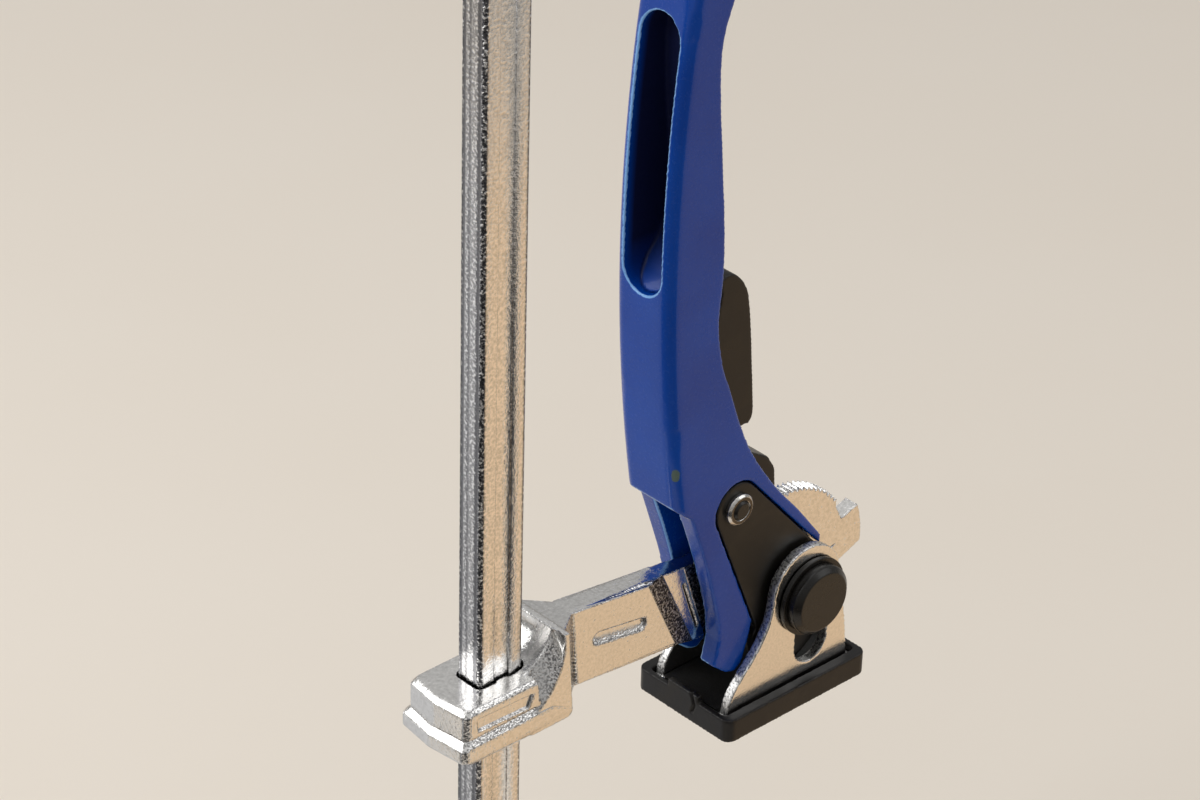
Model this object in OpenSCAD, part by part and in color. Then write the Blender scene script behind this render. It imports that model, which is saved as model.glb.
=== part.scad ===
// Quick release bar clamp: a toothed lever presses a swivelling foot towards a fixed jaw.
// Frame: the origin is the centre of the fixed jaw's pressing face, +Z runs up the rail
// towards the moving foot, +X points away from the rail, and the clamp is symmetric about Y = 0.
// The moving head is drawn in its own frame, whose origin is the centre of the foot's pressing
// face, and is then lifted by `opening`.

/* [Reach] */
// Distance from the rail's inner face to the middle of the pads
throat = 60; // [58:1:64]
// Gap between the two pads as drawn
opening = 50; // [20:1:110]
// Largest gap between the two pads
opening_max = 160; // [150:5:180]

/* [Rail] */
// Width of the rail along X
rail_w = 10; // [9.6:0.1:10.2]
// Thickness of the rail along Y
rail_t = 6; // [5.8:0.1:6.2]
// Radius of the rail's long corners
rail_corner = 0.9; // [0.6:0.1:1.2]
// Width of the shallow groove down each broad face
rail_groove_w = 3.4; // [2.8:0.1:3.8]
// Depth of the groove down each broad face
rail_groove_d = 0.45; // [0.3:0.05:0.6]
// Clearance between the rail and the sliding collar
rail_fit = 0.4; // [0.3:0.05:0.5]

/* [Arm] */
// Height of the collar round the rail
collar_h = 11.1; // [10.5:0.1:11.5]
// Thickness of the beam between collar and tongue
beam_t = 5.4; // [5.2:0.1:5.6]
// Thickness of the toothed tongue
sector_t = 3.2; // [3:0.1:3.3]
// Radius of the ratchet teeth about the pivot
tooth_r = 18; // [17.8:0.1:18.2]
// Angle between two teeth, in degrees
tooth_pitch = 4.4; // [4:0.1:5]
// Depth of a tooth
tooth_d = 0.9; // [0.7:0.1:1]

/* [Lever] */
// Width of the lever over both cheeks
lever_w = 13.8; // [13.7:0.1:14]
// Radius of the long edges of the grip
grip_round = 2.4; // [2:0.1:2.6]
// Thickness of each cam plate
plate_t = 2.4; // [2.2:0.1:2.5]
// How far the lever opens from the drawn position, in degrees
lever_open = 78; // [70:1:80]
// How far the lever closes from the drawn position, in degrees
lever_close = 10; // [6:1:10]
// How much the foot drops for each degree that the lever closes
cam_rise = 0.1; // [0.09:0.005:0.1]

/* [Foot] */
// Length of a pad along X
pad_l = 36; // [35:0.5:37]
// Width of a pad along Y
pad_w = 24.4; // [24:0.1:24.8]
// Height of a pad's rim
pad_h = 4.8; // [4.6:0.1:5]
// Thickness of a pad's floor, between the steel and the work
pad_floor = 1.6; // [1.5:0.1:1.7]
// Thickness of the foot's steel strap
strap_t = 2; // [1.8:0.1:2]

/* [Hidden] */
$fn = 64;
eps = 0.01;

// Rail
rail_x = -(throat + rail_w / 2);
head_h = 41;
rail_top = opening_max + head_h + 20;
rail_foot = -21;
stop_pin_r = 1.5;
stop_pin_z = rail_top - 5;
jaw_pin_r = 1.6;
jaw_pin_z = [-10.7, -16.6];
jaw_lift = 12.5;

// Collar of a forged arm: it is drawn once, upright, and reused upside down for the fixed jaw
collar_z = 20.5;
root_top = 38.5;

// Lever and foot, in the head's own frame
pin = [4.2, 22.1];
pin_r = 3;
running = 0.05;
ear_in = 7.5;
ear_out = ear_in + strap_t;
washer_t = 1;
washer_in = ear_out + 0.2;
head_in = washer_in + washer_t;
head_out = head_in + 2.5;
plate_out = lever_w / 2 - 0.2;
plate_in = plate_out - plate_t;
cheek_in = 3.05;
web_out = plate_in - 0.1;
hub_r = 6.5;
rivet = [-12.85, 46.4];
rivet_r = 1.9;
thrust_t = 0.6;
floor_z = pad_floor + strap_t + thrust_t;
cam_gap = 1.3;
cam_k = cam_rise * 180 / PI;
slot_x = 5.2;
slot_r = 4.1;
slot_low = pin[1] - cam_rise * lever_open - 3.2;
slot_high = pin[1] + cam_rise * lever_close + 0.4;

// Front of the grip: one long arc about a point far out beyond the foot
grip_r = 319.6;
grip_c = [287.6, 102.5];

// ---------------------------------------------------------------- shapes that repeat

// Points along an arc in the XZ plane, from angle a0 to a1
function arc(c, r, a0, a1, n) =
    [for (i = [0:n]) let (a = a0 + (a1 - a0) * i / n) [c[0] + r * cos(a), c[1] + r * sin(a)]];

// Smooth curve through a list of points, with n steps between neighbours
function spline_point(a, b, c, d, t) =
    0.5 * ((2 * b) + (c - a) * t + (2 * a - 5 * b + 4 * c - d) * t * t
           + (3 * b - a - 3 * c + d) * t * t * t);
function curve(p, n) = let (last = len(p) - 1) concat(
    [for (i = [0:last - 1], j = [0:n - 1])
        spline_point(p[max(i - 1, 0)], p[i], p[i + 1], p[min(i + 2, last)], j / n)],
    [p[last]]);

// Unit vector square to the outer tangent of two circles, on the chosen side (+1 or -1)
function tangent_normal(c1, r1, c2, r2, side) =
    let (d = c2 - c1, a = atan2(d[1], d[0]) + side * acos((r1 - r2) / norm(d))) [cos(a), sin(a)];
function angle_of(v) = atan2(v[1], v[0]);

// Plate with an outline in the XZ plane, between two values of Y
module side_plate(points, y0, y1) {
    translate([0, y1, 0])
        rotate([90, 0, 0])
            linear_extrude(height = y1 - y0)
                polygon(points);
}

// The same plate on both sides of the middle plane
module side_plates(points, y0, y1) {
    side_plate(points, y0, y1);
    side_plate(points, -y1, -y0);
}

// Round bar along Y
module cross_bar(at, r, y0, y1) {
    translate([at[0], y1, at[1]])
        rotate([90, 0, 0])
            cylinder(r = r, h = y1 - y0);
}

// Upright slot through a plate, along Y
module cross_slot(x, z0, z1, r, y0, y1) {
    cross_bar([x, z0], r, y0, y1);
    cross_bar([x, z1], r, y0, y1);
    translate([x - r, y0, z0])
        cube([2 * r, y1 - y0, z1 - z0]);
}

// Washer on the Y axis
module ring(at, r_out, r_in, y0, y1) {
    difference() {
        cross_bar(at, r_out, y0, y1);
        cross_bar(at, r_in, y0 - 1, y1 + 1);
    }
}

// Turned pin head with a chamfered rim; side is -1 on the near face and +1 on the far face
module pin_head(at, side, y_in, y_out, r) {
    chamfer = 0.9;
    translate([at[0], 0, at[1]])
        rotate([side > 0 ? -90 : 90, 0, 0])
            rotate_extrude()
                polygon([[0, y_in], [r, y_in], [r, y_out - chamfer],
                         [r - chamfer, y_out], [0, y_out]]);
}

// Rectangle with round corners
module round_rect(l, w, r) {
    square([l - 2 * r, w], center = true);
    square([l, w - 2 * r], center = true);
    for (x = [-1, 1], y = [-1, 1])
        translate([x * (l / 2 - r), y * (w / 2 - r)])
            circle(r = r);
}

// Plastic cap that clips round a steel sole: its floor is the pressing face, at z = 0
module pad_cap() {
    wall = 1.3;
    side_wall = 2.3;
    lug_w = 8;
    lug_h = 1.4;
    difference() {
        union() {
            linear_extrude(height = pad_h)
                round_rect(pad_l, pad_w, 1.9);
            for (side = [-1, 1])
                translate([side * (pad_l / 2 - wall / 2), 0, pad_h + lug_h / 2 - eps])
                    cube([wall, lug_w, lug_h], center = true);
        }
        translate([0, 0, pad_floor])
            linear_extrude(height = pad_h)
                round_rect(pad_l - 2 * wall, pad_w - 2 * side_wall, 0.8);
    }
}

// Section of the rail, with the grooves down its faces; grow adds a clearance
module rail_section(grow) {
    l = rail_w + 2 * grow;
    w = rail_t + 2 * grow;
    difference() {
        round_rect(l, w, rail_corner + grow);
        for (side = [-1, 1])
            translate([-(rail_groove_w - 2 * grow) / 2, side > 0 ? w / 2 - rail_groove_d : -w / 2 - 1])
                square([rail_groove_w - 2 * grow, rail_groove_d + 1]);
    }
}

// One level of a collar's outline, seen from above: a blunt nose, then sides that widen
module collar_level(z, nose, half, end, half_end) {
    corner = [[nose + 0.9, half - 0.7], [nose + 1.9, half], [end, half_end]];
    translate([0, 0, z])
        linear_extrude(height = 0.1)
            polygon(concat([[nose, 0]], corner,
                           [for (i = [2:-1:0]) [corner[i][0], -corner[i][1]]]));
}

// Forged collar with its upright root, before the rail's passage is cut
module collar_and_root() {
    nose = rail_x - 14;
    back = rail_x + 12.3;
    root_half = 7.95;
    hollow = [-63.6, 40.2];
    hollow_r = 8.7;
    rim = [-68.6, 36.2];
    rim_r = 13.9;
    // flange, with a sloping ledge round its top
    hull() {
        collar_level(collar_z, nose + 1.6, 7.3, back, 7.6);
        collar_level(collar_z + 1.6, nose, 8.5, back + 0.2, 8.05);
        collar_level(collar_z + 3.9, nose, 8.5, back - 4.5, 8.15);
        collar_level(collar_z + 5.9, nose + 1.6, 7.2, back - 7, 6.9);
    }
    // upper tier, with a sloping edge
    hull() {
        collar_level(collar_z + 5.7, nose + 1.1, 7.7, back - 7.4, 7.7);
        collar_level(collar_z + collar_h - 1.1, nose + 1.1, 7.7, back - 7.8, 7.7);
        collar_level(collar_z + collar_h - 0.1, nose + 2, 7, back - 8.2, 7.1);
    }
    // root with a hollow towards the rail, whose wide sloping rim runs down into the ledge
    difference() {
        side_plate([[-62.2, 24], [-62.2, 32], [-57.4, root_top], [-53.7, root_top], [-52.6, 22.6],
                    [-53.6, 20.6], [-62.2, 20.6]], -root_half, root_half);
        cross_bar(hollow, hollow_r, -root_half - 1, root_half + 1);
        for (side = [-1, 1])
            hull() {
                cross_bar(hollow, hollow_r, side * 4.8, side * 4.8 + eps);
                cross_bar(rim, rim_r, side * (root_half + 0.15), side * (root_half + 0.15) + eps);
            }
    }
    // flare from the root to the beam
    hull() {
        side_plate([[-54.4, root_top - 0.3], [-53.8, root_top - 0.3], [-52.9, 21.2], [-55, 21.2],
                    [-55, 31]], -6.6, 6.6);
        side_plate([[-50, 37.6], [-48.3, 37.4], [-47.2, 21.6], [-50, 21.4]],
                   -beam_t / 2 + 0.3, beam_t / 2 - 0.3);
    }
}

// ---------------------------------------------------------------- fixed side

module rail() {
    color("gainsboro")
        difference() {
            translate([rail_x, 0, rail_foot])
                linear_extrude(height = rail_top - rail_foot)
                    rail_section(0);
            cross_bar([rail_x, stop_pin_z], stop_pin_r, -rail_t, rail_t);
            for (z = jaw_pin_z)
                cross_bar([rail_x, z], jaw_pin_r, -rail_t, rail_t);
        }
}

module rail_stop_pin() {
    color("dimgray")
        cross_bar([rail_x, stop_pin_z], stop_pin_r, -7, 7);
}

// Forged arm at the foot of the rail, with a flat sole for the pad
module fixed_jaw() {
    sole_l = pad_l - 4;
    sole_w = pad_w - 5.2;
    sole_z = -pad_floor - 3;
    // the beam dips below the rim of the pad, then meets the sole from below
    beam = [[-55, -9.2], [-50, -8.4], [-24, -6.9], [-16.5, -6.6], [-15.7, -4.4], [13, -3.6],
            [15, -4.4], [15.4, -6], [9, -11], [-20, -19.6], [-48, -25], [-54, -25.9]];
    color("silver")
        difference() {
            union() {
                translate([0, 0, jaw_lift])
                    mirror([0, 0, 1])
                        collar_and_root();
                side_plate(beam, -beam_t / 2, beam_t / 2);
                // sole for the pad, carried by a rib that widens upwards
                translate([0, 0, sole_z])
                    linear_extrude(height = 3)
                        round_rect(sole_l, sole_w, 1.5);
                hull() {
                    translate([0, 0, sole_z - 0.1])
                        cube([24, sole_w - 5, 0.4], center = true);
                    translate([-1, 0, sole_z - 4])
                        cube([18, beam_t + 0.8, 0.2], center = true);
                }
            }
            translate([rail_x, 0, -30])
                linear_extrude(height = 40)
                    rail_section(0);
            for (z = jaw_pin_z)
                cross_bar([rail_x, z], jaw_pin_r, -10, 10);
        }
}

module fixed_jaw_pins() {
    color("dimgray")
        for (z = jaw_pin_z)
            cross_bar([rail_x, z], jaw_pin_r, -7.6, 7.6);
}

module fixed_jaw_pad() {
    color([0.12, 0.11, 0.1])
        mirror([0, 0, 1])
            pad_cap();
}

// ---------------------------------------------------------------- sliding arm, in the head's frame

// Forged in one piece: collar round the rail, beam, and the toothed tongue with the pivot eye
module sliding_arm() {
    panel = [[-48.2, 37.4], [-30.1, 35.2], [-22.8, 19.7], [-46.8, 21.5]];
    beam = [[-54, 37.9], [-48, 37.4], [-22.3, 34.9], [-16.4, 17.4], [-20, 18.2], [-46.6, 20.8],
            [-54, 20.9]];
    color("silver")
        difference() {
            union() {
                collar_and_root();
                side_plate(beam, -1.9, 1.9);
                side_plate(panel, -beam_t / 2, beam_t / 2);
                // falling band from the side panel to the flat strip
                hull() {
                    side_plate([[-30.3, 35.2], [-30.1, 35.2], [-22.8, 19.5], [-23, 19.5]],
                               -beam_t / 2, beam_t / 2);
                    side_plate([[-26.2, 35.4], [-26, 35.4], [-17.8, 17.6], [-18, 17.6]], -1.9, 1.9);
                }
                // falling band from the flat strip to the tongue
                hull() {
                    side_plate([[-22.5, 34.9], [-22.3, 34.9], [-16.4, 17.4], [-16.6, 17.4]], -1.9, 1.9);
                    side_plate([[-18.8, 34.4], [-18.6, 34.4], [-13, 18.2], [-13.2, 18.2]],
                               -sector_t / 2, sector_t / 2);
                }
                toothed_tongue();
                cross_bar(pin, hub_r, -plate_in + 0.15, plate_in - 0.15);
            }
            // passage for the rail
            translate([rail_x, 0, 0])
                linear_extrude(height = 60)
                    rail_section(rail_fit);
            // recessed strip on each side of the collar
            side_plates([[-74.4, 29.6], [-61.6, 29.2], [-62.6, 26.7], [-74.2, 27]], 7.15, 10);
            // round-ended recess in each side of the panel
            for (side = [-1, 1])
                level_slot([-41.9, 29.3], [-31.7, 27.7], 1.35, side * beam_t / 2 - 0.8,
                           side * beam_t / 2 + 0.8);
            // thin slot in each flat strip
            side_plates([[-21, 31.2], [-20.4, 31.2], [-16.5, 20.4], [-17.1, 20.2]], 1.4, 3);
            cross_bar(pin, pin_r, -10, 10);
            // short slit below the hook
            side_plate([pin + [12.4, 0.2], pin + [15.6, 1.4], pin + [15.6, 1], pin + [12.4, -0.2]],
                       -5, 5);
        }
}

// Slot with round ends between two points of the XZ plane, cut along Y
module level_slot(p0, p1, r, y0, y1) {
    d = (p1 - p0) / norm(p1 - p0) * r;
    n = [-d[1], d[0]];
    cross_bar(p0, r, y0, y1);
    cross_bar(p1, r, y0, y1);
    side_plate([p0 + n, p1 + n, p1 - n, p0 - n], y0, y1);
}

// Flat end of the arm: ratchet teeth on top and the hook that stops the lever
module toothed_tongue() {
    tooth_from = 33;
    tooth_to = 132;
    count = floor((tooth_to - tooth_from) / tooth_pitch);
    root_r = tooth_r - tooth_d;
    hook_r = 21.4;
    // angles run anticlockwise from +X in the XZ plane; the hook lies on the +X side
    teeth = [for (i = [0:count - 1], j = [0:1])
        let (a = tooth_from + (i + (j == 0 ? 0.1 : 1)) * tooth_pitch, r = j == 0 ? root_r : tooth_r)
            pin + r * [cos(a), sin(a)]];
    outline = concat(
        [pin + 16.2 * [cos(-12), sin(-12)]],
        arc(pin, hook_r, -3, 20, 6),
        [pin + 16.8 * [cos(20), sin(20)]],
        arc(pin, 16.9, 22, 31, 2),
        teeth,
        [[-12.8, 34.6], [-20, 34.2], [-20, 19], [-13, 18.2]],
        arc(pin, 9, 205, 318, 10));
    side_plate(outline, -sector_t / 2, sector_t / 2);
}

// Shouldered pin with its head on the near side and a thinner end for the pressed cap
module pivot_pin() {
    color([0.1, 0.1, 0.1]) {
        cross_bar(pin, pin_r, -head_in, head_in);
        cross_bar(pin, pin_r - 1.2, head_in - eps, head_out - 0.8);
        pin_head(pin, -1, head_in, head_out, 6.9);
    }
}

module pivot_pin_cap() {
    color([0.1, 0.1, 0.1])
        difference() {
            pin_head(pin, 1, head_in, head_out, 6.9);
            cross_bar(pin, pin_r - 1.2, head_in - 1, head_out - 0.8);
        }
}

module pin_washer_near() {
    color([0.15, 0.15, 0.15])
        ring(pin, 7.8, pin_r + running, -head_in + 0.05, -washer_in);
}

module pin_washer_far() {
    color([0.15, 0.15, 0.15])
        ring(pin, 7.8, pin_r + running, washer_in, head_in - 0.05);
}

// ---------------------------------------------------------------- foot, in the head's frame

// Steel strap bent into a U: the sole lies in the pad, and the slotted ears hang on the pin
module foot_bracket() {
    sole_l = pad_l - 3;
    base = pad_floor + strap_t - 1;
    left = curve([[-15.9, base], [-15.2, 6.4], [-13, 10], [-8.9, 14.6], [-5.9, 19.7], [-5, 24]], 4);
    ear = concat(left, arc([3.5, 23.9], 8.5, 175, 5, 24), [[13.4, 17.3], [14.5, 10.3], [15.3, base]]);
    color("silver")
        difference() {
            union() {
                translate([-sole_l / 2, -ear_out, pad_floor])
                    cube([sole_l, 2 * ear_out, strap_t]);
                side_plates(ear, ear_in, ear_out);
            }
            cross_slot(slot_x, slot_low, slot_high, slot_r, -12, 12);
        }
}

// Hardened plate on the sole, which the cams run on
module thrust_plate() {
    color([0.1, 0.1, 0.1])
        translate([0, 0, pad_floor + strap_t])
            linear_extrude(height = thrust_t)
                round_rect(pad_l - 4, 2 * ear_in - 0.3, 1);
}

module foot_pad() {
    color([0.12, 0.11, 0.1])
        pad_cap();
}

// ---------------------------------------------------------------- lever, in the head's frame

// Edge of the lever that faces away from the rail, from the grip down to the tip of the rear leg
lever_rear = [[-10.4, 164.6], [-13.1, 158], [-16.9, 151.6], [-20.1, 145.1], [-21.6, 138.6],
              [-21.4, 129.6], [-20.3, 117.6], [-19.1, 103.6], [-19, 94.6], [-19.6, 87.1],
              [-18.5, 79.1], [-16.1, 72.1], [-10.7, 58.3], [-3.4, 47.1], [2.8, 39.8], [9, 31.8]];
// From the tip of the rear leg round the pivot, then each front leg's blunt toe and front edge
lever_toe = [[-7.9, 20], [-8.1, 18.2], [-9.9, 12], [-11.7, 10.7], [-13.9, 11.4], [-17.1, 14],
             [-16, 19], [-16.5, 24], [-17.9, 29.5], [-19.6, 35.5], [-21.6, 41.5],
             [-24.2, 48.6], [-25.6, 49.7],
             [-28.4, 52]];

// Outline of the recess for a cam plate: two tangents from a round top down past the pivot
function plate_edge(grow) =
    let (top_r = 5 + grow, right_r = 8.3 + grow, left_r = 11.4 + grow,
         nr = tangent_normal(rivet, top_r, pin, right_r, 1),
         nl = tangent_normal(rivet, top_r, pin, left_r, -1))
    concat([pin + left_r * nl],
           arc(rivet, top_r, angle_of(nl), angle_of(nr) - (angle_of(nr) > angle_of(nl) ? 360 : 0), 16),
           [pin + right_r * nr]);

// Cam edge: its distance below the pivot falls evenly as the lever opens
function cam_point(a) =
    let (p = pin[1] - floor_z - cam_gap - cam_rise * a)
        pin + [p * sin(a) - cam_k * cos(a), -p * cos(a) - cam_k * sin(a)];

// Solid with the lever's rounded front, swept about the centre of the grip's arc
module grip_sweep(depth) {
    half = lever_w / 2;
    translate([grip_c[0], 0, grip_c[1]])
        rotate([90, 0, 0])
            rotate([0, 0, 164])
                rotate_extrude(angle = 38, $fn = 720) {
                    translate([grip_r - depth, -half])
                        square([depth - grip_round, 2 * half]);
                    translate([grip_r - depth, -half + grip_round])
                        square([depth, 2 * (half - grip_round)]);
                    for (side = [-1, 1])
                        translate([grip_r - grip_round, side * (half - grip_round)])
                            circle(r = grip_round, $fn = 40);
                }
}

// Cast lever: a grip with a long pocket in its front, a channel behind for the trigger,
// and two forked cheeks
module lever() {
    half = lever_w / 2;
    front = 3;
    channel_in = 4.4;
    blank = concat([[-40, 52], [-40, 190], [-14, 190]],
                   arc([-16.1, 166.6], 6.1, 60, -20, 8),
                   curve(lever_rear, 3),
                   arc(pin, 9.2, 58, 190, 16),
                   lever_toe);
    channel = concat(arc(grip_c, grip_r - front, 188.2, 183.6, 6),
                     [[-27.6, 87], [-24.6, 91.4], [-20.4, 94.4], [-12, 95], [0, 90], [0, 57]]);
    color([0.12, 0.27, 0.62])
        difference() {
            intersection() {
                side_plate(blank, -half - 1, half + 1);
                grip_sweep(60);
            }
            // round end of the grip
            side_plate(concat([[-40, 165]], arc([-16.6, 166.2], 7.6, 165, 20, 14), [[0, 190], [-40, 190]]),
                       -half - 1, half + 1);
            // space between the cheeks
            side_plate([[-45, 0], [30, 0], [30, 60], [-25.2, 61.6], [-25, 53.6], [-23.2, 49.8],
                        [-45, 49.8]], -cheek_in, cheek_in);
            // channel in which the trigger swings
            side_plate(channel, -channel_in, channel_in);
            // pocket in the front of the grip
            intersection() {
                translate([-45, 0, 0])
                    rotate([90, 0, 90])
                        linear_extrude(height = 30)
                            pocket_face();
                side_plate(pocket_side, -6, 6);
            }
            // recesses for the cam plates
            side_plates(concat(plate_edge(0.35), [[14, 22], [4, 8], [-4, 10]]), web_out, half + 1);
            cross_bar(rivet, rivet_r, -half, half);
        }
}

// Section of the pocket: a scooped floor at the bottom, then a back wall along the rear edge
pocket_side = [[-40, 88], [-31.3, 93.2], [-27.4, 96.6], [-24, 100.8], [-22, 105], [-21.3, 109],
               [-22.1, 118], [-23.2, 130], [-23.6, 138], [-22.6, 147], [-40, 152]];

// Long slot with round ends, seen from the front of the lever
module pocket_face() {
    r = 4.6;
    low = 98.6;
    high = 141;
    translate([-r, low])
        square([2 * r, high - low]);
    for (z = [low, high])
        translate([0, z])
            circle(r = r);
}

// Cam plate: round top on the trigger pin, pivot bore, and the cam edge that presses the sole
module cam_plate(side) {
    steps = 22;
    cam = [for (i = [0:steps]) cam_point(lever_open - (lever_open + lever_close) * i / steps)];
    outline = concat(plate_edge(0), arc(pin, 8.3, 40, -8, 6), cam, [[-7.2, 16.4]]);
    color([0.1, 0.1, 0.1])
        difference() {
            side_plate(outline, side > 0 ? plate_in : -plate_out, side > 0 ? plate_out : -plate_in);
            cross_bar(pin, pin_r + running, -10, 10);
            cross_bar(rivet, rivet_r, -10, 10);
        }
}

module cam_plate_near() {
    cam_plate(-1);
}

module cam_plate_far() {
    cam_plate(1);
}

// Pin that ties the cam plates to the lever and carries the trigger
module trigger_pin() {
    color([0.2, 0.18, 0.16])
        cross_bar(rivet, rivet_r, -plate_out - 1.5, plate_out + 1.5);
}

module trigger_collar_near() {
    color("silver")
        ring(rivet, 3.1, rivet_r, -plate_out - 1.2, -plate_out);
}

module trigger_collar_far() {
    color("silver")
        ring(rivet, 3.1, rivet_r, plate_out, plate_out + 1.2);
}

// ---------------------------------------------------------------- trigger, in the head's frame

// Trigger: a hub on its pin, a nose over the ratchet teeth and a finger tab behind the grip
module release_trigger() {
    nose_gap = 0.3;
    web = 2.7;
    tab_half = 3.9;
    hub = 4.6;
    tip_r = tooth_r + nose_gap;
    spine = concat(
        arc(rivet, hub, 215, 160, 6),
        [[-18.4, 56], [-19.6, 66], [-19, 74], [-17.4, 84], [-16, 91.5], [-13.2, 91.2],
         [-10.2, 87], [-9.2, 80], [-8.2, 66], [-8.4, 61.6], [-11.6, 59.6], [-9.4, 54.8],
         [-5.6, 53.2], [-1.4, 50.6], [0.4, 47.6], [0.7, 44]],
        arc(pin, tip_r, 99, 112, 3),
        [pin + (tip_r + 1.8) * [cos(118), sin(118)]]);
    tab = curve([[-15.6, 93.2], [-13.2, 92.7], [-10.4, 89.4], [-9.1, 84], [-7.7, 70], [-7.2, 62.6],
                 [-8.4, 60.8]], 4);
    color([0.12, 0.11, 0.1])
        difference() {
            union() {
                side_plate(spine, -web, web);
                side_plate(concat(tab, [[-10.6, 61.4], [-11.2, 70], [-12.6, 84], [-14, 89.6]]),
                           -tab_half, tab_half);
            }
            cross_bar(rivet, rivet_r + running, -10, 10);
        }
}

// Coil spring that pushes the trigger out of the grip: a wire swept along a helix about X
module trigger_spring() {
    coil_r = 2;
    wire_r = 0.4;
    turns = 5;
    ring_steps = 14;
    sides = 6;
    from_x = -27.1;
    to_x = -19.9;
    z = 73;
    steps = turns * ring_steps;
    points = [for (i = [0:steps], j = [0:sides - 1])
        let (a = 360 * i / ring_steps, b = 360 * j / sides, r = coil_r + wire_r * cos(b))
            [from_x + (to_x - from_x) * i / steps + wire_r * sin(b), r * cos(a), z + r * sin(a)]];
    faces = concat(
        [[for (j = [0:sides - 1]) j]],
        [for (i = [0:steps - 1], j = [0:sides - 1])
            let (k = (j + 1) % sides, p = i * sides, q = p + sides)
                [p + j, q + j, q + k, p + k]],
        [[for (j = [sides - 1:-1:0]) steps * sides + j]]);
    color("gainsboro")
        polyhedron(points, faces, convexity = 10);
}

// ---------------------------------------------------------------- assembly

module lifted() {
    translate([0, 0, opening])
        children();
}

rail();
rail_stop_pin();
fixed_jaw();
fixed_jaw_pins();
fixed_jaw_pad();
lifted() sliding_arm();
lifted() pivot_pin();
lifted() pivot_pin_cap();
lifted() pin_washer_near();
lifted() pin_washer_far();
lifted() foot_bracket();
lifted() thrust_plate();
lifted() foot_pad();
lifted() lever();
lifted() cam_plate_near();
lifted() cam_plate_far();
lifted() trigger_pin();
lifted() trigger_collar_near();
lifted() trigger_collar_far();
lifted() release_trigger();
lifted() trigger_spring();
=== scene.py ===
"""Quick release bar clamp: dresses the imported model, piece by piece, in the order it is put together."""
import math

import bmesh
import bpy
from mathutils import Matrix, Vector


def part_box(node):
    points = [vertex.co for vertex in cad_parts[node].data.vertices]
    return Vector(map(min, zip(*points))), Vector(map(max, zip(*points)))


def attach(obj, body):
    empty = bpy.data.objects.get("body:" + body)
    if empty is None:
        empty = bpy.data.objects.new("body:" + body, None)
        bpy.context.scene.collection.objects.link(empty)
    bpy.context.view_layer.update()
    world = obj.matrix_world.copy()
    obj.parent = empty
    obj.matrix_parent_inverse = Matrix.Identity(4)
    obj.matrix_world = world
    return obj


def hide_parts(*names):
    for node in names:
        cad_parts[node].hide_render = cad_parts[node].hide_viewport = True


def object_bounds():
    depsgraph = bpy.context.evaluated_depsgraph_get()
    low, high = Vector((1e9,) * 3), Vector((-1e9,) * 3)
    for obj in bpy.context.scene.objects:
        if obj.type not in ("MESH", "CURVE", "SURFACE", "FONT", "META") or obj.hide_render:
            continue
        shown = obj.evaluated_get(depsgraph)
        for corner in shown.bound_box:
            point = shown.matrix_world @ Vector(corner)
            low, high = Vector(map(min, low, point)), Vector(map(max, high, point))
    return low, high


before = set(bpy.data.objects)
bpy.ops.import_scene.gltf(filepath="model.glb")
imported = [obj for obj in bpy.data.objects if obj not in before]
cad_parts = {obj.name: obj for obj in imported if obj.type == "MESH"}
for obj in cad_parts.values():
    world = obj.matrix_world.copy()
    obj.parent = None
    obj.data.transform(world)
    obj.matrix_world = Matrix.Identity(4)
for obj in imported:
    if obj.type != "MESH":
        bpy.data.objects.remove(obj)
cad_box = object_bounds()
mm = 0.001

# ---------------------------------------------------------------- rail
# A cold-drawn flat steel bar with rounded corners and a shallow groove down each broad face.
# It is bright plated, with fine drawing marks along its length.

rail_low, rail_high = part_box("rail")
rail_middle = (rail_low + rail_high) / 2
half_width = (rail_high.x - rail_low.x) / 2
half_thick = (rail_high.y - rail_low.y) / 2
groove_half, groove_deep = 1.7 * mm, 0.45 * mm
corner_round, groove_round, end_round = 0.9 * mm, 0.16 * mm, 0.35 * mm


def socketed(tree, kind, values=None, **settings):
    """One shader node; each value is a constant for a socket or another node's output to link to it."""
    node = tree.nodes.new("ShaderNode" + kind)
    for key, value in settings.items():
        setattr(node, key, value)
    for key, value in (values or {}).items():
        if isinstance(value, bpy.types.NodeSocket):
            tree.links.new(value, node.inputs[key])
        else:
            node.inputs[key].default_value = value
    return node


def worked(tree, operation, *values, clamp=False):
    """The result of a Math node on up to three values."""
    node = socketed(tree, "Math", dict(enumerate(values)), operation=operation, use_clamp=clamp)
    return node.outputs[0]


def ramp(tree, value, start, end, low=0.0, high=1.0):
    """Low where the value is at start, high where it is at end, even between them and held beyond."""
    spread = {"Value": value, "From Min": start, "From Max": end, "To Min": low, "To Max": high}
    return socketed(tree, "MapRange", spread).outputs["Result"]


def noise(tree, place, scale, detail=2.0, roughness=0.5, distortion=0.0):
    """Cloudy values round a half."""
    look = {"Vector": place, "Scale": scale, "Detail": detail, "Roughness": roughness,
            "Distortion": distortion}
    return socketed(tree, "TexNoise", look).outputs["Fac"]


def toned(tree, mask, under, over):
    """The colour under where the mask is 0, and over where it is 1."""
    under, over = [(*c, 1) if isinstance(c, tuple) else c for c in (under, over)]
    return socketed(tree, "Mix", {"Factor": mask, 6: under, 7: over}, data_type="RGBA").outputs[2]


def parts_of(tree, vector):
    """The X, Y and Z of a vector."""
    return socketed(tree, "SeparateXYZ", {0: vector}).outputs


def facing_of(tree):
    """The X, Y and Z of the way that the surface faces."""
    return parts_of(tree, tree.nodes["Texture Coordinate"].outputs["Normal"])


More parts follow.
